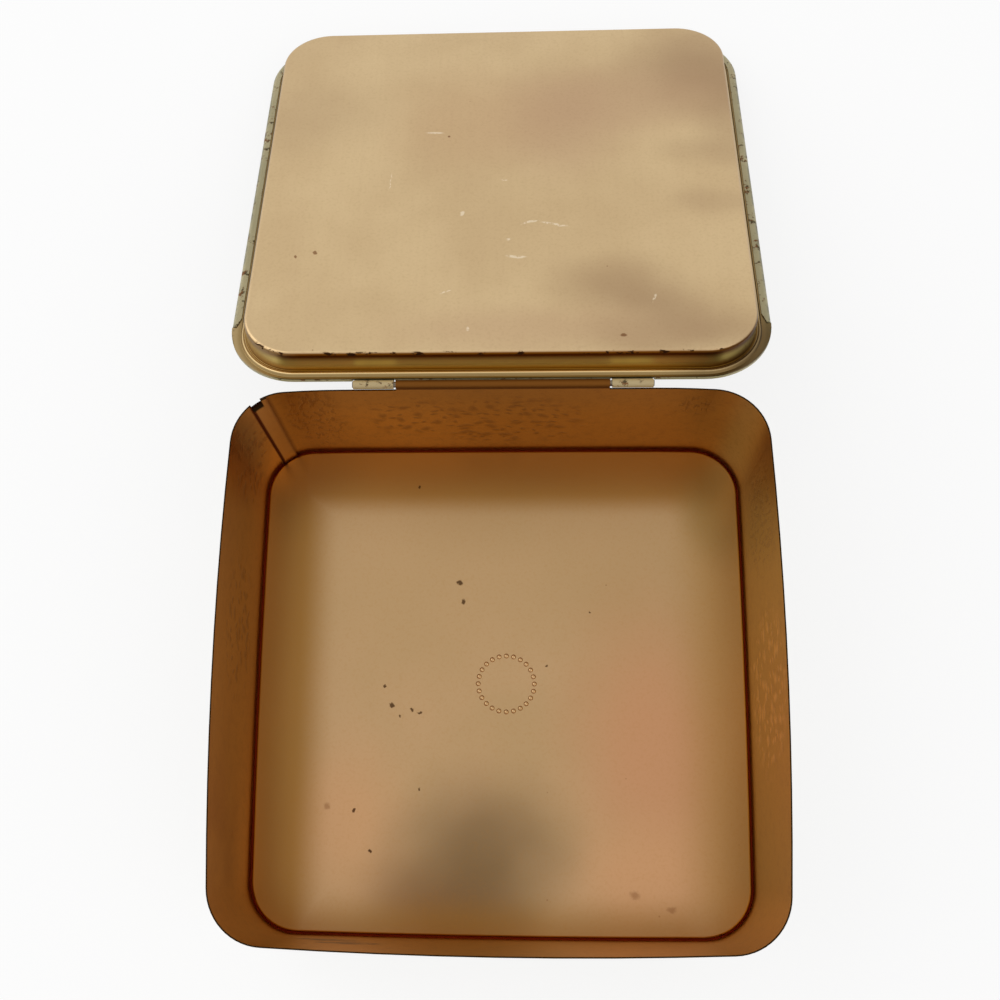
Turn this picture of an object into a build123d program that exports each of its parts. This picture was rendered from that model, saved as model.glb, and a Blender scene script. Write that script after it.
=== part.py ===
# A square tin with rounded corners and a hinged lid, standing open with the lid folded back.
# Millimetres, +Z up, +X to the right, +Y towards the hinge.
# The origin is the centre of the underside, on the surface that the tin stands on.
# The lid is built closed, then swung open about the hinge wire until its front lip
# reaches that surface.
from build123d import *

import math
import os

# Tinplate and the gaps between sheets
sheet = 0.28
fold_gap = 0.02
seat_gap = 0.10

# Body: a rounded square whose sides bow out a little, more at the rim than at the foot
body_width = 115.0
body_depth = 115.0
body_height = 42.0
corner_radius = 12.0
foot_height = 4.0
foot_bow = 0.6
rim_side_bow = 1.9
rim_front_bow = 1.6
rim_back_bow = 1.4
hinge_seat = 68.0

# Lock seam up the back left corner, and the notch in the rim beside it (degrees round the corner)
seam_rise = 0.35
seam_from = 114.0
seam_to = 131.0
notch_from = 120.0
notch_depth = 1.2

# Base: seam up the outside of the wall, groove inside it, raised panel
base_seam_height = 2.6
groove_width = 0.6
base_rise = 1.6
base_edge_radius = 0.45

# Ring of plain beads pressed into the base
bead_ring_radius = 6.6
bead_ring_x = 1.5
bead_count = 24
bead_radius = 0.75
bead_height = 0.26

# Hinge: one wire, a roll of the body's back wall, and two knuckles of the lid, a little right of centre
hinge_x = 1.0
wire_radius = 0.65
wire_clearance = 0.03
roll_length = 46.2
roll_sweep = 275.0
knuckle_length = 8.8
knuckle_gap = 0.5
knuckle_sweep = 285.0
wire_overhang = 0.2

# Lid shell: top sheet, curl on three sides up to the back corners, turned edge from there on
lid_side_overhang = 0.6
lid_front_overhang = 0.7
lid_back_gap = 0.32
lid_corner_radius = 15.5
curl_width = 2.0
back_lip = 0.3
panel_margin = 7.0
panel_rise = 0.6
panel_edge_radius = 0.3
tip_taper = 3.0
tip_gap = 0.1
tab_relief = 0.3

# Lid liner: plug and ridge that drop inside the rim, flange under the shell's curl
plug_gap = 0.85
plug_corner_radius = 12.0
plug_drop = 5.05
plug_draft = 0.2
plug_edge_radius = 0.8
crease_depth = 0.2
crease_radius = 0.12
ridge_height = 0.43
ridge_radius = 0.3
ridge_run = 0.95
ridge_width = 1.42
ridge_gap = 0.15

# Distances that follow from the sizes above
roll_inner = wire_radius + wire_clearance
roll_outer = roll_inner + sheet
hinge_y = body_depth / 2 + rim_back_bow - sheet + roll_outer
ridge_crest = roll_outer + ridge_height
hinge_z = body_height + seat_gap + roll_outer
knuckle_start = roll_length / 2 + knuckle_gap
knuckle_end = knuckle_start + knuckle_length
lid_half = body_width / 2 + rim_side_bow + lid_side_overhang
lid_back = roll_outer + lid_back_gap
lid_front = hinge_y + body_depth / 2 + rim_front_bow + lid_front_overhang
curl_end = -lid_back - lid_corner_radius
plug_half_width = body_width / 2 - sheet - plug_gap
plug_back = hinge_y - body_depth / 2 + sheet + plug_gap
plug_front = hinge_y + body_depth / 2 - sheet - plug_gap
plug_face = ridge_crest + plug_drop
flange_face = roll_inner - fold_gap
droop = math.degrees(math.asin((hinge_z - roll_outer - fold_gap) / (lid_front - roll_outer)))
opening = 180.0 + droop


def outline(inset, side_bow, front_bow, back_bow):
    """The body's outline, drawn in by a sheet's distance; the back is straight at the hinge."""
    x = body_width / 2 - inset
    y = body_depth / 2 - inset
    seat = hinge_seat / 2
    run = x - seat
    bend = (run**2 + back_bow**2) / (2 * back_bow)
    half_turn = math.asin(run / bend) / 2
    mid_x = seat + bend * math.sin(half_turn)
    mid_y = y + back_bow - bend * (1 - math.cos(half_turn))
    back = y + back_bow
    edges = [
        ThreePointArc((-x, y), (-x - side_bow, 0), (-x, -y)),
        ThreePointArc((-x, -y), (0, -y - front_bow), (x, -y)),
        ThreePointArc((x, -y), (x + side_bow, 0), (x, y)),
        ThreePointArc((x, y), (mid_x, mid_y), (seat, back)),
        Line((seat, back), (-seat, back)),
        ThreePointArc((-seat, back), (-mid_x, mid_y), (-x, y)),
    ]
    face = make_face(edges)
    corners = [v for v in face.vertices() if abs(v.X) > x - 0.01]
    return fillet(corners, corner_radius - inset)


def foot_outline(inset):
    return outline(inset, foot_bow, foot_bow, foot_bow)


def rim_outline(inset):
    return outline(inset, rim_side_bow, rim_front_bow, rim_back_bow)


def prism(face, low, high):
    """A flat outline drawn up between two heights."""
    return extrude(Pos(0, 0, low) * face, high - low)


def body_block(inset, low):
    """The solid inside the wall's outer face, or inside a face drawn in from it."""
    foot = prism(foot_outline(inset), low, foot_height)
    sections = [Pos(0, 0, foot_height) * foot_outline(inset), Pos(0, 0, body_height) * rim_outline(inset)]
    return foot + loft(sections, ruled=True)


def corner_wedge(start, stop, low, high):
    """A wedge round the centre of the back left corner, between two angles."""
    centre_x = corner_radius - body_width / 2
    centre_y = body_depth / 2 - corner_radius
    reach = 2 * corner_radius
    points = [(centre_x, centre_y)]
    for angle in (start, (start + stop) / 2, stop):
        turn = math.radians(angle)
        points.append((centre_x + reach * math.cos(turn), centre_y + reach * math.sin(turn)))
    return prism(make_face(Polyline(*points, close=True)), low, high)


def rolled(start, sweep, low, high):
    """Sheet rolled round the wire along X. Angles run from +Y towards +Z."""
    outer = CenterArc((0, 0), roll_outer, start, sweep)
    inner = CenterArc((0, 0), roll_inner, start, sweep)
    face = make_face([outer, inner, Line(outer @ 0, inner @ 0), Line(outer @ 1, inner @ 1)])
    return Pos(low, 0, 0) * extrude(Plane.YZ * face, high - low)


def block(low, high):
    """A box between two opposite corners."""
    size = [b - a for a, b in zip(low, high)]
    middle = [(a + b) / 2 for a, b in zip(low, high)]
    return Pos(*middle) * Box(*size)


def body_wall():
    """One strip: the wall, its lock seam and the roll that holds the hinge wire."""
    low = sheet + fold_gap
    inside = body_block(sheet, low)
    wall = body_block(0, low) - inside
    seam = (inside - body_block(sheet + seam_rise, low)) & corner_wedge(seam_from, seam_to, low, body_height)
    wall += seam
    wall -= corner_wedge(notch_from, seam_to, body_height - notch_depth, body_height + 1)
    half = roll_length / 2
    riser = block((-half, -roll_outer, body_height - hinge_z), (half, -roll_inner, 0))
    roll = rolled(180, -roll_sweep, -half, half)
    return wall + Pos(hinge_x, hinge_y, hinge_z) * (riser + roll)


def beads(radius, top):
    """A ring of balls that stand out of a face at the given height."""
    spot = Pos(bead_ring_radius, 0, top + bead_height - bead_radius) * Sphere(radius)
    return [Pos(bead_ring_x, 0, 0) * Rot(0, 0, 360 * n / bead_count) * spot for n in range(bead_count)]


def base_panel():
    """The pressed base: seam, groove, raised panel and its ring of beads."""
    panel_top = base_rise + sheet
    inset = sheet + groove_width
    tray = prism(foot_outline(-sheet - fold_gap), 0, base_seam_height)
    tray -= prism(foot_outline(-fold_gap), sheet, base_seam_height)
    raised = prism(foot_outline(inset), 0, panel_top)
    raised = fillet(raised.edges().group_by(Axis.Z)[-1], base_edge_radius)
    hollow = prism(foot_outline(inset + sheet), 0, base_rise)
    hollow = fillet(hollow.edges().group_by(Axis.Z)[-1], base_edge_radius - sheet / 2)
    base = tray + raised - hollow
    base = base + beads(bead_radius, panel_top)
    return base - beads(bead_radius - sheet, panel_top)


def hinge_wire():
    half = knuckle_end + wire_overhang
    return Pos(hinge_x, hinge_y, hinge_z) * Rot(0, 90, 0) * Cylinder(wire_radius, 2 * half)


def lid_outline(inset):
    """The lid's outline in the closed lid's frame, whose origin is the hinge wire."""
    width = 2 * (lid_half - inset)
    depth = lid_front - lid_back - 2 * inset
    return Pos(0, -(lid_front + lid_back) / 2) * RectangleRounded(width, depth, lid_corner_radius - inset)


def plug_outline(grow):
    width = 2 * (plug_half_width + grow)
    depth = plug_front - plug_back + 2 * grow
    return Pos(0, -(plug_front + plug_back) / 2) * RectangleRounded(width, depth, plug_corner_radius + grow)


def around(profile, half, front, back, radius, sides, turns):
    """Carries a section round a rounded rectangle: straight runs, and quarter turns at their ends.

    The section's x runs outwards from the outline and its y runs up.
    """
    x = half - radius
    runs = {
        "right": ((half, -back - radius), (1, 0, 0), front - back - 2 * radius),
        "front": ((x, -front), (0, -1, 0), 2 * x),
        "left": ((-half, -front + radius), (-1, 0, 0), front - back - 2 * radius),
        "back": ((-x, -back), (0, 1, 0), 2 * x),
    }
    corners = {
        "right": (x, -front + radius),
        "front": (-x, -front + radius),
        "left": (-x, -back - radius),
        "back": (x, -back - radius),
    }
    made = []
    for side, (start, outward, length) in runs.items():
        along = Vector(*outward).cross(Vector(0, 0, 1))
        plane = Plane(origin=(*start, 0), x_dir=outward, z_dir=along)
        if side in sides:
            made.append(extrude(plane * profile, length))
        if side in turns:
            end = Plane(origin=Vector(*start, 0) + along * length, x_dir=outward, z_dir=along)
            axis = Axis((*corners[side], 0), (0, 0, -1))
            made.append(revolve(end * profile, axis, 90))
    return made


def curl_section():
    """Top sheet, half round at the edge, and the lip that lies over the liner's flange."""
    centre = (-roll_outer, 0)
    outer = CenterArc(centre, roll_outer, 90, -180)
    inner = CenterArc(centre, roll_inner, 90, -180)
    overlap = -roll_outer - 1
    top = Polyline(outer @ 0, (overlap, roll_outer), (overlap, roll_inner), inner @ 0)
    lip = Polyline(outer @ 1, (-curl_width, -roll_outer), (-curl_width, -roll_inner), inner @ 1)
    return make_face([outer, inner, *top.edges(), *lip.edges()])


def turned_section():
    """The shell's edge at the hinge: turned down, and cut short above the liner's flange."""
    centre = (-roll_outer, 0)
    outer = CenterArc(centre, roll_outer, 90, -90)
    inner = CenterArc(centre, roll_inner, 90, -90)
    overlap = -roll_outer - 1
    top = Polyline(outer @ 0, (overlap, roll_outer), (overlap, roll_inner), inner @ 0)
    lip = Polyline(outer @ 1, (0, -back_lip), (-sheet, -back_lip), inner @ 1)
    return make_face([outer, inner, *top.edges(), *lip.edges()])


def lid_shell_closed():
    """The painted outer sheet of the lid, in the closed lid's frame."""
    top = prism(lid_outline(roll_outer), roll_inner, roll_outer)
    raised = prism(lid_outline(panel_margin), roll_inner, roll_outer + panel_rise)
    raised = fillet(raised.edges().group_by(Axis.Z)[-1], panel_edge_radius)
    hollow = prism(lid_outline(panel_margin + sheet), roll_inner, roll_inner + panel_rise)
    shell = top + raised - hollow
    size = (lid_half, lid_front, lid_back, lid_corner_radius)
    shell = shell + around(curl_section(), *size, ("right", "front", "left"), ("right", "front"))
    shell = shell + around(turned_section(), *size, ("back",), ("left", "back"))
    shell -= prism(plug_outline(ridge_width + 2 * ridge_gap), -roll_outer - 0.1, -back_lip)
    for side in (-1, 1):
        inner = side * (lid_half - curl_width - 0.1)
        tip = Polyline(
            (inner, curl_end - tip_taper),
            (inner, curl_end + 0.1),
            (side * (lid_half - roll_outer), curl_end + 0.1),
            close=True,
        )
        shell -= prism(make_face(tip), -roll_outer - 0.1, -roll_inner + 0.1)
        span = sorted((hinge_x + side * knuckle_start, hinge_x + side * knuckle_end))
        behind = -lid_back - roll_outer
        wide = (span[0] - tab_relief, span[1] + tab_relief)
        shell -= block((wide[0], behind, -roll_outer), (wide[1], -lid_back + 0.1, roll_outer + 0.1))
        shell += block((span[0], behind, roll_inner), (span[1], 0, roll_outer))
        shell += rolled(90, -knuckle_sweep, *span)
    return shell


def liner_section():
    """Edge of the liner: flat panel, plug wall, crease, ridge and the start of the flange.

    The section's x runs outwards from the plug's foot and its y runs up, so the plug hangs down.
    """
    foot = ridge_crest - crease_depth
    points = [
        (-3, -plug_face),
        (-plug_draft, -plug_face),
        (0, -foot),
        (ridge_run / 2, -foot),
        (ridge_run, -ridge_crest),
        (ridge_width, -flange_face),
        (ridge_width + ridge_gap, -flange_face),
    ]
    radii = [plug_edge_radius, crease_radius, crease_radius, ridge_radius, crease_radius]
    face_line = FilletPolyline(*points, radius=radii)
    section = offset(face_line, amount=sheet, side=Side.LEFT, closed=True)
    return make_face(section.edges())


def lid_liner_closed():
    """The lacquered inner sheet of the lid, in the closed lid's frame."""
    panel = prism(plug_outline(-2), -plug_face, -plug_face + sheet)
    size = (plug_half_width, plug_front, plug_back, plug_corner_radius)
    sides = ("right", "front", "left", "back")
    ring = around(liner_section(), *size, sides, sides)
    low = -flange_face
    high = sheet - flange_face
    flange = prism(lid_outline(roll_outer), low, high)
    behind = block((-lid_half, curl_end + tip_gap, low), (lid_half, 0, high))
    flange = flange + (prism(lid_outline(fold_gap), low, high) & behind)
    flange -= prism(plug_outline(ridge_width), low - 1, high + 1)
    return panel + ring + flange


def swung_open(closed):
    return Pos(0, hinge_y, hinge_z) * Rot(-opening, 0, 0) * closed


def write(name, solid):
    export_step(solid, f"parts/{name}.step")


os.makedirs("parts", exist_ok=True)
write("body_wall", body_wall())
write("base_panel", base_panel())
write("hinge_wire", hinge_wire())
write("lid_shell", swung_open(lid_shell_closed()))
write("lid_liner", swung_open(lid_liner_closed()))
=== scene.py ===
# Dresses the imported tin: finishes for its five CAD nodes, a camera, soft light and a pale floor.
# Objects are in the CAD frame, in metres. Materials measure in millimetres from the same origin,
# and the lid's materials measure in the closed lid's frame, whose origin is the hinge wire.
import math

import bpy
from mathutils import Matrix, Vector

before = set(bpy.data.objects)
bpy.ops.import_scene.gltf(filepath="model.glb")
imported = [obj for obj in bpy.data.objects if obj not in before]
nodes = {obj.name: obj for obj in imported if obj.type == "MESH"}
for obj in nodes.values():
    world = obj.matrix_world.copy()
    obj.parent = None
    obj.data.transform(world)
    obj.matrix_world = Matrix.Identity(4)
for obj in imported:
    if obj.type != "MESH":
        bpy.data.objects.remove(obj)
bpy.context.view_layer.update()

MILLIMETRES = 1000.0
WHITE = (1.0, 1.0, 1.0, 1.0)

# Camera, fitted to the outlines of the body, base and lid
EYE = (0.005669, -0.040924, 0.315822)
CAMERA_X = (0.998278, 0.013875, -0.056994)
CAMERA_Y = (-0.000079, 0.971940, 0.235228)
CAMERA_Z = (0.058659, -0.234819, 0.970268)
SENSOR = 36.0
FOCAL_PIXELS = 1335.55
FRAME_PIXELS = 1000
CENTRE_PIXEL = (445.53, 539.11)
CAMERA_NEAR = 0.01

# Light: a world, and lamps of this name, place, diameter and power that point at the tin
WORLD_LEVEL = 0.7
LAMPS = [
    ("key", (-0.98, 0.40, 0.75), 1.6, 6.5),
    ("fill", (0.8, -0.5, 1.0), 1.2, 3.0),
]
LAMP_TARGET = (0.0, 0.03, 0.02)

# Floor: half its width, how far under the tin it lies, its colour, how much of it is glow to the
# camera near the tin, and the distances between which that grows to all of it
FLOOR_REACH = 6.0
FLOOR_DROP = 0.00005
FLOOR_COLOUR = (0.9, 0.9, 0.9, 1.0)
FLOOR_GLOW = 0.80
FLOOR_WHITENS = (0.25, 1.5)

# Sizes of the tin that the finishes need, in millimetres and degrees
RIM_HEIGHT = 42.0
BODY_HALF = 57.5
CORNER_RADIUS = 12.0
SEAM_ANGLES = (114.0, 131.0)
NOTCH_ANGLES = (120.0, 131.0)
HINGE = (0.0, 59.58, 43.06)
ROLL_MIDDLE = 1.0
ROLL_HALF = 23.1
ROLL_OUTER = 0.96
OPENING = 200.81461
PANEL_TOP = 1.88
LID_HALF = 60.0
PLUG_FACE = 6.44
PLUG_HALF = 56.37
PLUG_CORNER = 12.0
PLUG_CENTRE = -59.58
CREASE = -1.19

# Roughness of each finish, and of its worn or dirty places
BASE_ROUGH = (0.28, 0.80)
WALL_ROUGH = (0.33, 0.60)
LID_ROUGH = (0.34, 0.85)
PAINT_ROUGH = (0.38, 0.65)
STEEL_ROUGH = (0.30, 0.65)
RUSTY_METALLIC = 0.3
PAINT_SPECULAR = (0.5, 0.05)

# Tones, as 0-255 display values
LID_TAN = (196, 169, 128)
LID_PALE = (206, 180, 138)
LID_PINK = (182, 149, 116)
LID_ROSE = (190, 156, 118)
LID_DULL = (140, 108, 80)
LID_GRAIN = (150, 118, 78)
PLUG_DARK_REFLECTION = (106, 60, 9)
PLUG_GOLD_SHEEN = (224, 198, 112)
PLUG_OLIVE = (176, 144, 74)
CREASE_SHADE = (134, 96, 28)
RIDGE_HIGHLIGHT = (238, 208, 154)
FLANGE_KHAKI = (146, 122, 80)
CORNER_TAN = (164, 140, 98)
CORNER_SHADE = (130, 112, 74)
PLUG_PALE = (142, 120, 84)
PLUG_SHADE = (60, 40, 18)
BASE_TAN = (180, 146, 106)
BASE_GREEN = (175, 143, 102)
BASE_PINK = (186, 136, 98)
BASE_ROSE = (194, 146, 104)
BASE_DULL = (166, 134, 92)
BASE_UMBER = (120, 82, 48)
BASE_CAMERA_REFLECTION = (112, 88, 58)
BASE_WALL_REFLECTION = (138, 94, 26)
DIRT_AND_SEAM_SHADE = (92, 26, 2)
BASE_RIGHT_WALL_REFLECTION = (157, 117, 60)
BASE_CORNER = (142, 114, 68)
SEAM_BROWN = (106, 78, 42)
GROOVE_SHADE = (166, 56, 14)
NOTCH_SHADE = (26, 8, 2)
WALL_TAN = (170, 122, 52)
WALL_BROWN = (156, 104, 34)
WALL_BACK = (206, 150, 66)
WALL_BRIGHT = (234, 174, 84)
WALL_CORNER_LIGHT = (196, 160, 92)
WALL_LEFT = (186, 134, 58)
WALL_OLIVE = (157, 129, 49)
WALL_RIGHT = (186, 148, 60)
WALL_FRONT = (206, 140, 32)
WALL_SHEEN = (200, 178, 128)
WALL_FOOT = (206, 148, 62)
WALL_MARK = (112, 60, 14)
WALL_FLECK = (230, 190, 126)
SEAM_TAN = (180, 138, 92)
SEAM_DULL = (142, 110, 74)
ROLL_BROWN = (110, 68, 26)
PAINT_CREAM = (176, 164, 124)
PAINT_GREEN = (136, 132, 98)
PAINT_STAIN = (122, 104, 72)
PAINT_DARK = (74, 78, 60)
CREAM_TAB = (178, 152, 106)
RUST = (58, 30, 12)
RUST_LIGHT = (118, 72, 38)
BARE_TIN = (158, 152, 142)
STEEL = (120, 110, 96)
SCRATCH = (240, 226, 200)
CHIP = (60, 50, 32)
RAW_EDGE = (44, 28, 12)

# Clouds of tone: tarnish, and on the base and wall also painted light, shade and reflection:
# centre, radii, turn in degrees, tone, strength
LID_CLOUDS = [
    ((49, -98, -6), (27, 24, 30), 0, LID_DULL, 0.60),
    ((56, -80, -6), (14, 22, 30), 0, LID_DULL, 0.35),
    ((31, -88, -6), (34, 20, 30), 0, LID_PINK, 0.52),
    ((15, -79, -6), (26, 28, 30), 0, LID_PINK, 0.68),
    ((-8, -80, -6), (28, 30, 30), 0, LID_ROSE, 0.40),
    ((49, -67, -6), (17, 8, 30), 10, LID_DULL, 0.20),
    ((50, -49, -6), (14, 7, 30), 8, LID_DULL, 0.22),
    ((27, -22, -6), (23, 14, 30), 12, LID_DULL, 0.44),
    ((43, -13, -6), (26, 10, 30), 20, LID_DULL, 0.42),
    ((34, -8, -6), (25, 9, 30), 0, LID_DULL, 0.42),
    ((-45, -83, -6), (22, 20, 30), 0, LID_DULL, 0.20),
    ((6, -10, -6), (44, 11, 30), 0, LID_PINK, 0.45),
    ((51, -33, -6), (18, 15, 30), 20, LID_PALE, 0.75),
]
BASE_CLOUDS = [
    ((-18, 28, 2), (54, 36, 20), 0, BASE_GREEN, 0.75),
    ((34, 22, 2), (30, 46, 20), 0, BASE_DULL, 0.50),
    ((0, 46, 2), (60, 20, 20), 0, BASE_DULL, 0.50),
    ((38, -17, 2), (31, 50, 20), 6, BASE_PINK, 0.90),
    ((34, -44, 2), (28, 20, 20), 0, BASE_ROSE, 0.70),
    ((-36, -34, 2), (22, 28, 20), 0, BASE_ROSE, 0.60),
    ((-12, -51, 2), (28, 18, 20), 0, BASE_UMBER, 0.80),
    # Painted reflection of the dark camera held above the base
    ((-4.5, -39, 2), (29, 26, 20), 0, BASE_CAMERA_REFLECTION, 0.80),
]
WALL_CLOUDS = [
    ((0, 60, 20), (120, 24, 90), 0, WALL_BACK, 1.0),
    # Painted light from the left on the right wall, in its olive tone
    ((60, 20, 24), (20, 44, 70), 0, WALL_OLIVE, 0.90),
    ((60, -40, 24), (20, 46, 70), 0, WALL_OLIVE, 0.90),
    ((60, -6, 24), (26, 72, 90), 0, WALL_RIGHT, 0.85),
    ((0, -60, 20), (120, 22, 90), 0, WALL_FRONT, 0.9),
    ((-24, 60, 22), (29, 10, 60), 0, WALL_BRIGHT, 0.75),
    # Painted shade along the top of the back wall
    ((0, 60, 44), (80, 10, 26), 0, WALL_TAN, 0.8),
    ((-60, 5, 24), (14, 44, 60), 0, WALL_LEFT, 0.8),
    # Painted light over the back right corner's dark reflection of itself
    ((57.8, 47.5, 34), (8, 8.5, 60), 0, WALL_CORNER_LIGHT, 0.9),
    ((-57, 51, 34), (8, 11, 30), 0, SEAM_DULL, 0.95),
    # Painted sheen down the back right corner
    ((54.5, 53.5, 28), (6.5, 6.5, 60), 0, WALL_SHEEN, 0.65),
]

# Small marks: centre, radii, turn in degrees
LID_SCRATCHES = [
    ((-16.1, -75.4, -6.4), (3.2, 0.42, 2), 3),
    ((7.0, -43.4, -6.4), (3.0, 0.40, 2), -18),
    ((12.6, -42.6, -6.4), (4.4, 0.50, 2), 14),
    ((3.9, -32.4, -6.4), (3.2, 0.55, 2), 4),
    ((2.2, -38.0, -6.4), (0.9, 0.45, 2), 0),
    ((-8.7, -46.6, -6.4), (0.5, 1.1, 2), 10),
    ((-11.8, -21.3, -6.4), (1.8, 0.38, 2), -25),
    ((34.2, -18.8, -6.4), (0.45, 1.8, 2), 25),
    ((-6.5, -10.1, -6.4), (0.5, 0.9, 2), 0),
    ((-26.0, -58.0, -6.4), (0.18, 4.0, 2), 4),
    ((1.0, -58.0, -6.4), (0.9, 0.3, 2), 0),
]
LID_SPECKS = [
    ((-42.0, -34.2, -6.4), (0.75, 0.75, 2), 0),
    ((-46.3, -33.0, -6.4), (0.5, 0.6, 2), 0),
    ((-12.5, -74.0, -6.4), (0.5, 0.5, 2), 0),
    ((27.0, -8.0, -6.4), (0.9, 0.6, 2), 0),
]
BASE_SPECKS = [
    ((-9.7, 24.2, 1.9), (1.05, 0.95, 2), 0),
    ((-8.8, 19.6, 1.9), (0.6, 0.9, 2), 0),
    ((-25.4, -5.2, 1.9), (0.85, 0.8, 2), 0),
    ((-20.6, -6.3, 1.9), (0.75, 0.6, 2), 0),
    ((-18.8, -6.9, 1.9), (1.0, 0.45, 2), 0),
    ((-27.2, -0.7, 1.9), (0.5, 0.5, 2), 0),
    ((-23.4, -7.9, 1.9), (0.45, 0.45, 2), 0),
    ((11.1, 4.3, 1.9), (0.4, 0.4, 2), 0),
    ((21.3, 17.2, 1.9), (0.4, 0.4, 2), 0),
    ((-18.6, -24.6, 1.9), (0.4, 0.4, 2), 0),
    ((-29.7, -38.8, 1.9), (0.75, 0.6, 2), 0),
    ((-33.7, -29.8, 1.9), (0.5, 0.6, 2), 0),
    ((-19.8, 48.2, 1.9), (0.55, 0.6, 2), 0),
]
BASE_STAINS = [
    ((30.7, -47.6, 1.9), (1.5, 1.3, 2), 0),
    ((38.9, -50.8, 1.9), (1.4, 1.0, 2), 0),
    ((-40.0, -28.7, 1.9), (1.0, 1.1, 2), 0),
]

# The base's dull back right corner, patches of dents and of pits in the wall, and smudges on it:
# centre, radii
BASE_CORNER_SPOT = ((53, 43, 2), (13, 19, 20))
WALL_DENTS = [
    ((-20, 58, 25), (14, 7, 16)),
    ((2, 58, 22), (24, 7, 22)),
    ((-58, 49, 24), (7, 15, 20)),
    ((-58, 10, 22), (7, 22, 16)),
    ((58, -4, 24), (7, 24, 24)),
]
WALL_PITS = [
    ((-42, 58, 24), (9, 7, 26)),
    ((44, 58, 32), (6, 7, 9)),
    ((58, 34, 26), (7, 18, 20)),
]
WALL_SMUDGES = [
    ((-37.4, -58.3, 15.5), (9.0, 3, 4.2)),
    ((-31.5, -58.4, 22.4), (9.0, 3, 4.2)),
]

# Colours up the plug's side and out over the ridge, in painted reflection, with painted shade in
# the crease and a painted highlight on the ridge: the height below the hinge wire as far as the
# crease, and from there on the distance outwards
PLUG_STOPS = [
    (-5.99, PLUG_DARK_REFLECTION),
    (-5.24, PLUG_DARK_REFLECTION),
    (-3.9, PLUG_GOLD_SHEEN),
    (-3.1, PLUG_GOLD_SHEEN),
    (-2.4, PLUG_OLIVE),
    (-1.8, CREASE_SHADE),
    (CREASE + 0.25, CREASE_SHADE),
    (CREASE + 0.55, RIDGE_HIGHLIGHT),
    (CREASE + 0.80, RIDGE_HIGHLIGHT),
    (CREASE + 1.15, FLANGE_KHAKI),
]
PLUG_STOPS_END = 1.0


def linear(tone):
    """A 0-255 display colour as the linear RGBA that shader sockets take."""
    values = []
    for part in tone:
        part = part / 255
        values.append(part / 12.92 if part <= 0.04045 else ((part + 0.055) / 1.055) ** 2.4)
    return (*values, 1.0)


def add_node(tree, kind, **settings):
    made = tree.nodes.new(kind)
    for key, value in settings.items():
        setattr(made, key, value)
    return made


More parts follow.
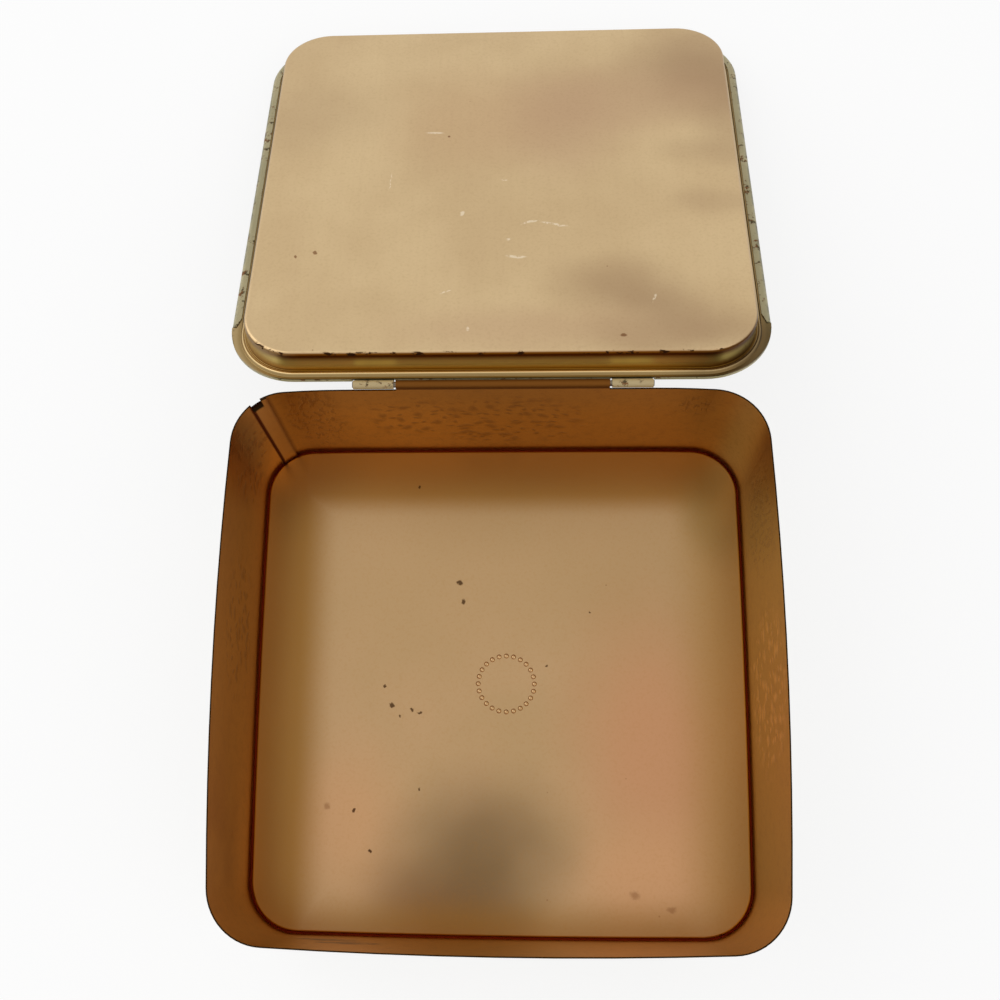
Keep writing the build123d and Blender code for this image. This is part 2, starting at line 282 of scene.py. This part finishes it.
class Finish:
    """A material under construction. Most methods add nodes and return an output socket."""

    def __init__(self, name, on_lid=False):
        self.material = bpy.data.materials.new(name)
        self.material.use_nodes = True
        self.tree = self.material.node_tree
        self.tree.nodes.clear()
        coordinates = self.node("ShaderNodeTexCoord")
        scaled = self.node("ShaderNodeVectorMath", operation="SCALE")
        self.put(scaled.inputs[0], coordinates.outputs["Object"])
        scaled.inputs["Scale"].default_value = MILLIMETRES
        self.place = scaled.outputs[0]
        self.normal = coordinates.outputs["Normal"]
        if on_lid:
            turn = math.radians(OPENING)
            hinge = Matrix.Rotation(turn, 3, "X") @ Vector(HINGE)
            self.place = self.mapped(self.place, tuple(-hinge), (turn, 0, 0))
            self.normal = self.mapped(self.normal, (0, 0, 0), (turn, 0, 0))
        self.x, self.y, self.z = self.split(self.place)

    def node(self, kind, **settings):
        return add_node(self.tree, kind, **settings)

    def put(self, socket, value):
        if isinstance(value, bpy.types.NodeSocket):
            self.tree.links.new(value, socket)
        else:
            socket.default_value = value

    def split(self, vector):
        made = self.node("ShaderNodeSeparateXYZ")
        self.put(made.inputs[0], vector)
        return made.outputs

    def mapped(self, vector, location, rotation, scale=(1, 1, 1), kind="POINT"):
        made = self.node("ShaderNodeMapping", vector_type=kind)
        self.put(made.inputs["Vector"], vector)
        made.inputs["Location"].default_value = location
        made.inputs["Rotation"].default_value = rotation
        made.inputs["Scale"].default_value = scale
        return made.outputs[0]

    def math(self, operation, first, second=0.0):
        made = self.node("ShaderNodeMath", operation=operation)
        self.put(made.inputs[0], first)
        self.put(made.inputs[1], second)
        return made.outputs[0]

    def times(self, first, *others):
        for other in others:
            first = self.math("MULTIPLY", first, other)
        return first

    def most(self, first, *others):
        for other in others:
            first = self.math("MAXIMUM", first, other)
        return first

    def inverse(self, mask):
        return self.math("SUBTRACT", 1.0, mask)

    def vector_math(self, operation, first, second):
        made = self.node("ShaderNodeVectorMath", operation=operation)
        self.put(made.inputs[0], first)
        self.put(made.inputs[1], second)
        return made.outputs

    def fade(self, value, low, high):
        """0 at low, 1 at high, smooth between. Low may be the larger of the two."""
        made = self.node("ShaderNodeMapRange", interpolation_type="SMOOTHSTEP")
        self.put(made.inputs["Value"], value)
        made.inputs["From Min"].default_value = min(low, high)
        made.inputs["From Max"].default_value = max(low, high)
        return made.outputs[0] if low < high else self.inverse(made.outputs[0])

    def fade_line(self, value, low, high):
        """0 at low, 1 at high, straight between."""
        made = self.node("ShaderNodeMapRange")
        self.put(made.inputs["Value"], value)
        made.inputs["From Min"].default_value = low
        made.inputs["From Max"].default_value = high
        return made.outputs[0]

    def level(self, factor, first, second):
        """The number first where the factor is 0, and second where it is 1."""
        made = self.node("ShaderNodeMapRange")
        self.put(made.inputs["Value"], factor)
        made.inputs["To Min"].default_value = first
        made.inputs["To Max"].default_value = second
        return made.outputs[0]

    def band(self, value, low, high, soft):
        """1 between low and high, and 0 beyond a soft edge."""
        rise = self.fade(value, low - soft, low + soft)
        return self.times(rise, self.fade(value, high + soft, high - soft))

    def zone(self, *ramps, strength=1.0):
        """The product of ramps, each a value with where it is 0 and where it is 1."""
        result = self.times(*[self.fade(*ramp) for ramp in ramps])
        return result if strength == 1.0 else self.times(result, strength)

    def noise(self, size, detail=2.0, roughness=0.5, stretch=(1, 1, 1), shift=0.0):
        """Cloud noise whose features are about this many millimetres across, from 0 to 1."""
        made = self.node("ShaderNodeTexNoise")
        scale = tuple(1.0 / (size * part) for part in stretch)
        place = self.mapped(self.place, (shift, shift, shift), (0, 0, 0), scale)
        self.put(made.inputs["Vector"], place)
        made.inputs["Scale"].default_value = 1.0
        made.inputs["Detail"].default_value = detail
        made.inputs["Roughness"].default_value = roughness
        return made.outputs[0]

    def blotches(self, low, high, **settings):
        """Noise cut to patches: 0 where it is under low, 1 where it is over high."""
        return self.fade(self.noise(**settings), low, high)

    def wavered(self, size, amount):
        """The position, pushed about by noise so that marks get uneven edges."""
        cloud = self.node("ShaderNodeTexNoise")
        self.put(cloud.inputs["Vector"], self.place)
        cloud.inputs["Scale"].default_value = 1.0 / size
        cloud.inputs["Detail"].default_value = 2.0
        middle = self.vector_math("SUBTRACT", cloud.outputs["Color"], (0.5, 0.5, 0.5))[0]
        push = self.node("ShaderNodeVectorMath", operation="SCALE")
        self.put(push.inputs[0], middle)
        push.inputs["Scale"].default_value = 2.0 * amount
        return self.vector_math("ADD", self.place, push.outputs[0])[0]

    def ball(self, local):
        """1 at the origin of these coordinates, and 0 at a distance of 1 from it."""
        made = self.node("ShaderNodeTexGradient", gradient_type="SPHERICAL")
        self.put(made.inputs["Vector"], local)
        return made.outputs["Fac"]

    def spot(self, where, centre, radii, turn=0.0):
        """1 at the centre of an ellipsoid turned about Z by some degrees, and 0 at its surface."""
        turned = (0, 0, math.radians(turn))
        return self.ball(self.mapped(where, centre, turned, radii, "TEXTURE"))

    def marks(self, where, rows):
        """The largest of several spots."""
        return self.most(*[self.spot(where, *row) for row in rows])

    def patches(self, where, rows):
        """1 in soft-edged patches, and 0 outside them."""
        return self.most(*[self.fade(self.spot(where, *row), 0.1, 0.5) for row in rows])

    def mix(self, factor, first, second):
        """A blend of two colours, each a 0-255 tone or a socket."""
        made = self.node("ShaderNodeMix", data_type="RGBA")
        self.put(made.inputs[0], factor)
        for place, colour in ((6, first), (7, second)):
            self.put(made.inputs[place], linear(colour) if isinstance(colour, tuple) else colour)
        return made.outputs[2]

    def over(self, colour, tone, mask, strength=1.0):
        """The colour, with the tone over it at this strength where the mask is 1."""
        if strength != 1.0:
            mask = self.times(mask, strength)
        return self.mix(mask, colour, tone)

    def clouds(self, colour, where, rows):
        for centre, radii, turn, tone, strength in rows:
            shape = self.fade(self.spot(where, centre, radii, turn), 0.0, 0.9)
            colour = self.over(colour, tone, shape, strength)
        return colour

    def dots(self, size, radius, share):
        """Round dots, one in this share of the cells of a jittered grid, each cell of this size."""
        cells = self.node("ShaderNodeTexVoronoi")
        self.put(cells.inputs["Vector"], self.place)
        cells.inputs["Scale"].default_value = 1.0 / size
        chance = self.split(cells.outputs["Color"])[0]
        near = self.fade(cells.outputs["Distance"], radius / size, 0.4 * radius / size)
        return self.times(near, self.math("LESS_THAN", chance, share))

    def leaves(self, size, long, short, share):
        """Leaf shapes on the wall, turned unevenly: 1 in the middle of each, 0 outside it."""
        across, along, up = self.split(self.wavered(2.0, 0.5))
        flat = self.node("ShaderNodeCombineXYZ")
        self.put(flat.inputs[0], self.math("ADD", across, along))
        self.put(flat.inputs[1], up)
        cells = self.node("ShaderNodeTexVoronoi", voronoi_dimensions="2D")
        self.put(cells.inputs["Vector"], flat.outputs[0])
        cells.inputs["Scale"].default_value = 1.0 / size
        chances = self.split(cells.outputs["Color"])
        offset = self.vector_math("SUBTRACT", flat.outputs[0], cells.outputs["Position"])[0]
        turned = self.node("ShaderNodeVectorRotate", rotation_type="Z_AXIS")
        self.put(turned.inputs["Vector"], offset)
        self.put(turned.inputs["Angle"], self.times(chances[0], math.pi))
        leaf = self.mapped(turned.outputs[0], (0, 0, 0), (0, 0, 0), (1 / long, 1 / short, 1))
        shape = self.times(self.ball(leaf), self.math("LESS_THAN", chances[1], share))
        return self.fade(shape, 0.0, 0.9)

    def outwards(self, half, radius, centre_y=0.0):
        """Millimetres outwards from a rounded square's outline, and negative inside it."""
        sides = []
        for part, middle in ((self.x, 0.0), (self.y, centre_y)):
            offset = self.math("ABSOLUTE", self.math("SUBTRACT", part, middle))
            sides.append(self.math("SUBTRACT", offset, half - radius))
        corner = [self.math("POWER", self.most(side, 0.0), 2.0) for side in sides]
        length = self.math("SQRT", self.math("ADD", *corner))
        inner = self.math("MINIMUM", self.most(*sides), 0.0)
        return self.math("SUBTRACT", self.math("ADD", length, inner), radius)

    def bump(self, height, distance, below=None):
        """A bump of this many millimetres where the height is 1."""
        made = self.node("ShaderNodeBump")
        self.put(made.inputs["Height"], height)
        made.inputs["Distance"].default_value = distance / MILLIMETRES
        if below:
            self.put(made.inputs["Normal"], below)
        return made.outputs[0]

    def close(self, colour, roughness, metallic, bump, specular=0.5):
        """Ends the material with one shader, and returns the material."""
        shader = self.node("ShaderNodeBsdfPrincipled")
        self.put(shader.inputs["Base Color"], colour)
        self.put(shader.inputs["Roughness"], roughness)
        self.put(shader.inputs["Metallic"], metallic)
        self.put(shader.inputs["Specular IOR Level"], specular)
        self.put(shader.inputs["Normal"], bump)
        output = self.node("ShaderNodeOutputMaterial")
        self.tree.links.new(shader.outputs[0], output.inputs[0])
        return self.material


def base_lacquer():
    """Gold lacquer on the pressed base: tarnish clouds, painted reflections, rust specks, painted
    groove shade.
    """
    finish = Finish("base_lacquer")
    grain = finish.noise(size=0.7, detail=3, roughness=0.6)
    colour = finish.mix(finish.blotches(0.3, 0.7, size=26, detail=3), BASE_TAN, BASE_GREEN)
    colour = finish.clouds(colour, finish.wavered(size=22, amount=5.0), BASE_CLOUDS)

    # Painted reflection of the walls near the edges: browner towards them, most at the left and at
    # the hinge, and golder at the right
    depth = finish.times(finish.outwards(BODY_HALF, CORNER_RADIUS), -1.0)
    left = finish.zone((finish.x, -38.5, -48.5), strength=0.76)
    back = finish.zone((finish.y, 40.0, 47.0), (finish.x, 54.0, 48.0), strength=0.72)
    front = finish.zone((depth, 11.0, 2.0), (finish.x, 50.0, 40.0), strength=0.50)
    colour = finish.over(colour, BASE_WALL_REFLECTION, finish.most(left, back, front))
    colour = finish.over(colour, BASE_RIGHT_WALL_REFLECTION, finish.fade(finish.x, 38.0, 52.0), 0.60)
    # The dull back right corner
    corner = finish.fade(finish.spot(finish.place, *BASE_CORNER_SPOT), 0.0, 0.7)
    colour = finish.over(colour, BASE_CORNER, corner, 0.7)

    colour = finish.over(colour, WALL_BROWN, finish.fade(grain, 0.45, 0.75), 0.12)
    uneven = finish.wavered(size=0.9, amount=0.6)
    stains = finish.fade(finish.marks(uneven, BASE_STAINS), 0.0, 0.7)
    colour = finish.over(colour, RUST_LIGHT, stains, 0.45)
    specks = finish.fade(finish.marks(uneven, BASE_SPECKS), 0.1, 0.6)
    fine = finish.dots(size=3.6, radius=0.28, share=0.10)
    colour = finish.over(colour, RUST_LIGHT, fine, 0.45)
    colour = finish.over(colour, RUST, specks, 0.65)

    # The seam outside the wall, painted shade in the groove, and bare tin with light rust
    # underneath
    seam = finish.most(finish.fade(depth, -0.34, -0.42), finish.fade(finish.z, 2.2, 2.4))
    colour = finish.over(colour, SEAM_BROWN, seam)
    up = finish.split(finish.normal)[2]
    floor = finish.fade(up, 0.4, 0.7)
    side = finish.zone((depth, 0.2, 0.4), (up, -0.5, -0.2))
    sunken = finish.fade(finish.z, PANEL_TOP - 0.02, PANEL_TOP - 0.5)
    groove = finish.times(sunken, finish.most(floor, side))
    colour = finish.over(colour, GROOVE_SHADE, groove, 0.95)
    under = finish.fade(up, -0.4, -0.8)
    rusty = finish.blotches(0.54, 0.70, size=4, detail=5, roughness=0.65)
    colour = finish.over(colour, finish.over(BARE_TIN, RUST_LIGHT, rusty, 0.7), under)

    loose = finish.times(under, rusty)
    rough = finish.level(finish.most(groove, specks, loose), *BASE_ROUGH)
    metallic = finish.level(loose, 1.0, RUSTY_METALLIC)
    relief = finish.bump(finish.noise(size=14, detail=1), 0.03)
    relief = finish.bump(grain, 0.006, relief)
    return finish.close(colour, rough, metallic, relief)


def painted(finish):
    """Pale weathered paint, and where it has chipped."""
    green = finish.times(finish.blotches(0.3, 0.7, size=22, detail=4, roughness=0.6), 0.5)
    colour = finish.mix(green, PAINT_CREAM, PAINT_GREEN)
    flecks = finish.blotches(0.5, 0.75, size=1.3, detail=4, roughness=0.65)
    colour = finish.over(colour, PAINT_GREEN, flecks, 0.3)
    stain = finish.blotches(0.60, 0.76, size=5, detail=5, roughness=0.65, shift=40)
    colour = finish.over(colour, PAINT_STAIN, stain, 0.5)
    rub = finish.blotches(0.66, 0.72, size=1.6, detail=4, roughness=0.7, shift=90)
    chips = finish.times(rub, finish.blotches(0.5, 0.62, size=16, detail=2, shift=70))
    chips = finish.most(chips, finish.dots(size=5.0, radius=0.45, share=0.12))
    bared = finish.mix(finish.blotches(0.4, 0.6, size=0.9, detail=2), CHIP, RUST)
    return finish.over(colour, bared, chips), chips


def dented(finish, colour):
    """The wall's colour with its patches of dents and pits, and the depth of those from 0 to 1."""
    uneven = finish.wavered(size=7, amount=2.5)
    large = finish.leaves(size=4.2, long=2.6, short=1.5, share=0.6)
    small = finish.leaves(size=2.6, long=1.5, short=0.9, share=0.5)
    dents = finish.times(finish.most(large, small), finish.patches(uneven, WALL_DENTS))
    dark = finish.times(dents, finish.fade(finish.x, 52, 44))
    colour = finish.over(colour, WALL_MARK, dark, 0.45)
    light = finish.times(dents, finish.fade(finish.x, 44, 52))
    colour = finish.over(colour, WALL_FLECK, light, 0.60)
    holes = finish.blotches(
        0.48, 0.64, size=1.0, detail=2, roughness=0.6, stretch=(1, 1, 2.5), shift=8
    )
    pits = finish.times(holes, finish.patches(uneven, WALL_PITS))
    colour = finish.over(colour, WALL_MARK, pits, 0.34)
    return colour, finish.most(dents, finish.times(pits, 0.5))


def seamed(finish, colour):
    """The wall's colour with the lock seam's strip, painted shade at its edges, and the notch
    beside it.
    """
    across = finish.math("ADD", finish.x, BODY_HALF - CORNER_RADIUS)
    along = finish.math("SUBTRACT", finish.y, BODY_HALF - CORNER_RADIUS)
    angle = finish.math("MULTIPLY", finish.math("ARCTAN2", along, across), 180 / math.pi)
    first, last = SEAM_ANGLES
    strip = finish.times(finish.band(angle, first, last, 1.0), finish.fade(finish.z, 2, 8))
    colour = finish.over(colour, SEAM_TAN, strip, 0.6)
    # Painted shade along the seam's stepped edges, darker at the left one
    dark_edge = finish.band(angle, last - 1.6, last + 2.0, 1.0)
    colour = finish.over(colour, DIRT_AND_SEAM_SHADE, dark_edge, 0.95)
    soft_edge = finish.band(angle, first - 3.0, first + 1.5, 2.0)
    colour = finish.over(colour, DIRT_AND_SEAM_SHADE, soft_edge, 0.5)
    notch = finish.times(
        finish.band(angle, NOTCH_ANGLES[0] - 0.5, NOTCH_ANGLES[1] + 0.5, 0.5),
        finish.fade(finish.z, RIM_HEIGHT - 4.0, RIM_HEIGHT - 2.8),
    )
    return colour, dark_edge, notch


def wall_lacquer():
    """Gold lacquer inside the wall, with painted light and shade, paint outside it, and a raw edge
    along the rim.
    """
    finish = Finish("wall_lacquer")
    grain = finish.noise(size=0.6, detail=3, roughness=0.6)
    colour = finish.mix(finish.blotches(0.3, 0.7, size=14, detail=3), WALL_TAN, WALL_BROWN)
    colour = finish.over(colour, WALL_FOOT, finish.fade(finish.z, 26, 3))
    colour = finish.clouds(colour, finish.place, WALL_CLOUDS)
    colour, dents = dented(finish, colour)
    colour = finish.over(colour, WALL_FLECK, finish.dots(size=5.0, radius=0.45, share=0.12), 0.35)
    mottle = finish.blotches(0.45, 0.70, size=2.2, detail=3, roughness=0.6)
    colour = finish.over(colour, WALL_MARK, mottle, 0.14)
    colour = finish.over(colour, WALL_MARK, finish.fade(grain, 0.5, 0.8), 0.3)
    smudges = finish.marks(finish.wavered(size=3.0, amount=1.3), WALL_SMUDGES)
    rubbed = finish.blotches(
        0.38, 0.56, size=1.6, detail=4, roughness=0.65, stretch=(2.5, 1, 1), shift=52
    )
    smudges = finish.times(finish.fade(smudges, 0.0, 0.4), rubbed)
    colour = finish.over(colour, DIRT_AND_SEAM_SHADE, smudges, 0.95)
    # Painted shade where the wall meets the base
    low = finish.fade(finish.z, 1.4, 0.2)
    colour = finish.over(colour, GROOVE_SHADE, low, 0.9)
    colour, dark_edge, notch = seamed(finish, colour)

    # Outside, below the roll: plain worn paint
    flat = finish.vector_math("MULTIPLY", finish.place, (1, 1, 0))[0]
    facing = finish.vector_math("DOT_PRODUCT", flat, finish.normal)["Value"]
    outward = finish.fade(facing, 10.0, 25.0)
    roll_front = HINGE[1] - ROLL_OUTER
    below_roll = finish.most(
        finish.fade(finish.z, RIM_HEIGHT - 0.15, RIM_HEIGHT - 0.35),
        finish.fade(finish.y, roll_front, roll_front - 0.2),
    )
    outside = finish.times(outward, below_roll)
    paint, _ = painted(finish)
    colour = finish.over(colour, paint, outside)

    # The sheet's raw edge along the rim, painted shade in the notch in it, and the roll round the
    # wire
    from_middle = finish.math("ABSOLUTE", finish.math("SUBTRACT", finish.x, ROLL_MIDDLE))
    unrolled = finish.most(
        finish.fade(from_middle, ROLL_HALF - 0.1, ROLL_HALF + 0.1),
        finish.fade(finish.y, 50, 40),
    )
    top = finish.fade(finish.z, RIM_HEIGHT - 0.12, RIM_HEIGHT - 0.02)
    raw = finish.times(top, unrolled)
    colour = finish.over(colour, RAW_EDGE, raw)
    # Painted shade in the notch, on the inside only
    notch = finish.times(notch, finish.inverse(outward))
    colour = finish.over(colour, NOTCH_SHADE, notch)
    roll = finish.fade(finish.z, RIM_HEIGHT + 0.2, RIM_HEIGHT + 0.7)
    colour = finish.over(colour, ROLL_BROWN, roll)

    dull = finish.most(outside, notch, low, dark_edge, raw, roll)
    relief = finish.bump(dents, -0.07)
    relief = finish.bump(grain, 0.012, relief)
    rough = finish.level(dull, *WALL_ROUGH)
    return finish.close(colour, rough, finish.inverse(outside), relief)


def plug_side(finish):
    """The lid from the panel's edge outwards in painted reflection and shade: a dark turn, a golden
    side, a dark crease in painted shade, a pale ridge with a painted highlight, then the flange."""
    beyond = finish.outwards(PLUG_HALF, PLUG_CORNER, PLUG_CENTRE)
    height = finish.math("MINIMUM", finish.z, CREASE)
    station = finish.math("ADD", height, finish.most(beyond, 0.0))
    side = finish.node("ShaderNodeValToRGB")
    finish.put(side.inputs[0], finish.fade_line(station, -PLUG_FACE, PLUG_STOPS_END))
    stops = side.color_ramp.elements
    while len(stops) < len(PLUG_STOPS):
        stops.new(0.5)
    for stop, (place, tone) in zip(stops, PLUG_STOPS):
        stop.position = (place + PLUG_FACE) / (PLUG_STOPS_END + PLUG_FACE)
        stop.color = linear(tone)
    flange = finish.fade(beyond, 1.6, 2.6)
    tone = finish.mix(flange, side.outputs[0], CORNER_TAN)

    # Left and right sides differ from the side at the hinge, with the painted reflections and the
    # ridge's painted highlight toned down, and the back right corner is in painted shade
    sideways = finish.fade(finish.math("ABSOLUTE", finish.x), 46, 54)
    turn = finish.times(sideways, finish.zone((station, -3.6, -5.0), (finish.y, -8, -16)))
    tone = finish.over(tone, LID_TAN, turn, 0.8)
    ridge = finish.times(sideways, finish.band(station, CREASE + 0.3, CREASE + 1.2, 0.15))
    tone = finish.over(tone, CORNER_TAN, ridge, 0.7)
    left = finish.zone((finish.x, -42, -52), (station, CREASE + 0.3, CREASE - 0.1))
    tone = finish.over(tone, PLUG_PALE, left, 0.7)
    right = finish.times(flange, finish.fade(finish.x, 50, 56))
    tone = finish.over(tone, CORNER_SHADE, right)
    shade = finish.zone((finish.x, 30, 52), (finish.y, -26, -12), strength=0.65)
    tone = finish.over(tone, PLUG_SHADE, shade)
    grime = finish.blotches(0.48, 0.58, size=1.8, detail=3, roughness=0.6, shift=21)
    soiled = finish.times(finish.fade(beyond, 2.8, 3.3), grime)
    return finish.over(tone, PAINT_DARK, soiled, 0.6)


def lid_lacquer():
    """Gold lacquer inside the lid: tarnish clouds, scratches, and chips along the plug's edge."""
    finish = Finish("lid_lacquer", on_lid=True)
    grain = finish.noise(size=0.7, detail=3, roughness=0.6)
    colour = finish.mix(finish.blotches(0.3, 0.7, size=30, detail=3), LID_TAN, LID_PALE)
    colour = finish.clouds(colour, finish.wavered(size=20, amount=4.0), LID_CLOUDS)
    streaks = finish.blotches(0.35, 0.7, size=1.1, detail=2, roughness=0.5, stretch=(1, 40, 1))
    colour = finish.over(colour, LID_PINK, streaks, 0.06)
    colour = finish.over(colour, LID_GRAIN, finish.fade(grain, 0.45, 0.75), 0.14)
    scratches = finish.times(
        finish.fade(finish.marks(finish.wavered(size=3.0, amount=0.7), LID_SCRATCHES), 0.1, 0.5),
        finish.blotches(0.36, 0.5, size=0.8, detail=2, shift=20),
    )
    colour = finish.over(colour, SCRATCH, scratches, 0.5)
    specks = finish.fade(finish.marks(finish.wavered(size=1.4, amount=0.4), LID_SPECKS), 0.05, 0.5)
    fine = finish.dots(size=4.0, radius=0.26, share=0.09)
    colour = finish.over(colour, RUST_LIGHT, finish.most(fine, specks), 0.6)
    # The plug's side and ridge, in painted reflection, shade and highlight
    past_panel = finish.fade(finish.z, -PLUG_FACE + 0.05, -PLUG_FACE + 0.4)
    colour = finish.over(colour, plug_side(finish), past_panel)

    # Chips at the panel's edge, nearest and farthest from the hinge
    edge = finish.band(finish.z, -PLUG_FACE + 0.10, -PLUG_FACE + 0.9, 0.12)
    reach = finish.most(finish.fade(finish.y, -10, -6), finish.fade(finish.y, -108, -112))
    torn = finish.blotches(
        0.55, 0.62, size=1.5, detail=3, roughness=0.7, stretch=(2.2, 1, 1), shift=11
    )
    chips = finish.times(edge, reach, torn)
    colour = finish.over(colour, RUST, chips)

    rough = finish.level(finish.most(specks, chips), *LID_ROUGH)
    relief = finish.bump(finish.noise(size=17, detail=1), 0.10)
    relief = finish.bump(grain, 0.008, relief)
    return finish.close(colour, rough, 1.0, relief)


def outer_paint():
    """Pale weathered paint on the lid's shell, rubbed through along the curl."""
    finish = Finish("outer_paint", on_lid=True)
    colour, chips = painted(finish)
    knuckles = finish.times(
        finish.fade(finish.y, -1.25, -1.05),
        finish.band(finish.z, -1.5, 1.5, 0.2),
    )
    colour = finish.over(colour, CREAM_TAB, knuckles, 0.7)
    from_middle = finish.math("ABSOLUTE", finish.x)
    grime = finish.blotches(0.35, 0.6, size=3.0, detail=3, roughness=0.6, shift=15)
    soiled = finish.times(finish.fade(from_middle, LID_HALF - 0.9, LID_HALF - 0.2), grime)
    colour = finish.over(colour, PAINT_DARK, soiled, 0.7)
    curl = finish.most(
        finish.fade(from_middle, LID_HALF - 0.6, LID_HALF - 0.1),
        finish.fade(finish.z, 0.3, -0.2),
    )
    rubbed = finish.blotches(0.56, 0.64, size=2.2, detail=4, roughness=0.7, shift=33)
    wear = finish.times(curl, rubbed, 0.9)
    bared = finish.mix(finish.blotches(0.4, 0.6, size=1.0, detail=2), CHIP, RUST_LIGHT)
    colour = finish.over(colour, bared, wear)
    gone = finish.most(chips, wear)
    rough = finish.level(gone, *PAINT_ROUGH)
    relief = finish.bump(finish.inverse(gone), 0.04)
    return finish.close(colour, rough, 0.0, relief, finish.level(gone, *PAINT_SPECULAR))


def wire_steel():
    """Dull drawn wire with patches of rust."""
    finish = Finish("wire_steel")
    rusty = finish.blotches(0.45, 0.62, size=1.6, detail=4, roughness=0.6)
    colour = finish.mix(rusty, STEEL, RUST)
    metallic = finish.level(rusty, 1.0, RUSTY_METALLIC)
    rough = finish.level(rusty, *STEEL_ROUGH)
    return finish.close(colour, rough, metallic, finish.bump(rusty, 0.03))


def dress(name, material):
    for slot in nodes[name].material_slots:
        slot.material = material


def make_camera():
    data = bpy.data.cameras.new("camera")
    data.sensor_width = SENSOR
    data.lens = FOCAL_PIXELS / FRAME_PIXELS * SENSOR
    data.shift_x = 0.5 - CENTRE_PIXEL[0] / FRAME_PIXELS
    data.shift_y = CENTRE_PIXEL[1] / FRAME_PIXELS - 0.5
    data.clip_start = CAMERA_NEAR
    camera = bpy.data.objects.new("camera", data)
    turn = Matrix((CAMERA_X, CAMERA_Y, CAMERA_Z)).transposed()
    camera.matrix_world = Matrix.Translation(EYE) @ turn.to_4x4()
    bpy.context.scene.collection.objects.link(camera)
    bpy.context.scene.camera = camera


def make_lamp(name, where, size, power):
    data = bpy.data.lights.new(name, "AREA")
    data.shape = "DISK"
    data.size = size
    data.energy = power
    lamp = bpy.data.objects.new(name, data)
    lamp.location = where
    towards = Vector(LAMP_TARGET) - Vector(where)
    lamp.rotation_euler = towards.to_track_quat("-Z", "Y").to_euler()
    bpy.context.scene.collection.objects.link(lamp)


def seen_directly(tree, *kinds):
    """1 for rays of these kinds, and 0 for the rest."""
    path = add_node(tree, "ShaderNodeLightPath")
    result = path.outputs[kinds[0]]
    for kind in kinds[1:]:
        either = add_node(tree, "ShaderNodeMath", operation="MAXIMUM")
        tree.links.new(result, either.inputs[0])
        tree.links.new(path.outputs[kind], either.inputs[1])
        result = either.outputs[0]
    return result


def make_world():
    """White to the camera and in reflections, and a plain level of light on surfaces."""
    world = bpy.data.worlds.new("studio")
    bpy.context.scene.world = world
    world.use_nodes = True
    tree = world.node_tree
    tree.nodes.clear()
    seen = seen_directly(tree, "Is Camera Ray", "Is Glossy Ray", "Is Transmission Ray")
    strength = add_node(tree, "ShaderNodeMapRange")
    tree.links.new(seen, strength.inputs["Value"])
    strength.inputs["To Min"].default_value = WORLD_LEVEL
    strength.inputs["To Max"].default_value = 1.0
    background = add_node(tree, "ShaderNodeBackground")
    background.inputs["Color"].default_value = WHITE
    tree.links.new(strength.outputs[0], background.inputs["Strength"])
    output = add_node(tree, "ShaderNodeOutputWorld")
    tree.links.new(background.outputs[0], output.inputs[0])


def make_floor():
    """A pale floor that glows to the camera, so that it is white and keeps a soft shadow."""
    mesh = bpy.data.meshes.new("floor")
    reach = FLOOR_REACH
    corners = [(-reach, -reach, 0), (reach, -reach, 0), (reach, reach, 0), (-reach, reach, 0)]
    mesh.from_pydata(corners, [], [(0, 1, 2, 3)])
    floor = bpy.data.objects.new("floor", mesh)
    floor.location.z = -FLOOR_DROP
    material = bpy.data.materials.new("floor")
    material.use_nodes = True
    tree = material.node_tree
    tree.nodes.clear()
    coordinates = add_node(tree, "ShaderNodeTexCoord")
    away = add_node(tree, "ShaderNodeVectorMath", operation="LENGTH")
    tree.links.new(coordinates.outputs["Object"], away.inputs[0])
    whiter = add_node(tree, "ShaderNodeMapRange", interpolation_type="SMOOTHSTEP")
    tree.links.new(away.outputs["Value"], whiter.inputs["Value"])
    whiter.inputs["From Min"].default_value = FLOOR_WHITENS[0]
    whiter.inputs["From Max"].default_value = FLOOR_WHITENS[1]
    whiter.inputs["To Min"].default_value = FLOOR_GLOW
    share = add_node(tree, "ShaderNodeMath", operation="MULTIPLY")
    tree.links.new(seen_directly(tree, "Is Camera Ray", "Is Glossy Ray"), share.inputs[0])
    tree.links.new(whiter.outputs[0], share.inputs[1])
    diffuse = add_node(tree, "ShaderNodeBsdfDiffuse")
    diffuse.inputs["Color"].default_value = FLOOR_COLOUR
    shine = add_node(tree, "ShaderNodeEmission")
    blend = add_node(tree, "ShaderNodeMixShader")
    tree.links.new(share.outputs[0], blend.inputs[0])
    tree.links.new(diffuse.outputs[0], blend.inputs[1])
    tree.links.new(shine.outputs[0], blend.inputs[2])
    output = add_node(tree, "ShaderNodeOutputMaterial")
    tree.links.new(blend.outputs[0], output.inputs[0])
    mesh.materials.append(material)
    bpy.context.scene.collection.objects.link(floor)


dress("base_panel", base_lacquer())
dress("body_wall", wall_lacquer())
dress("lid_liner", lid_lacquer())
dress("lid_shell", outer_paint())
dress("hinge_wire", wire_steel())
make_camera()
make_world()
make_floor()
for lamp in LAMPS:
    make_lamp(*lamp)
bpy.context.scene.view_settings.view_transform = "Standard"
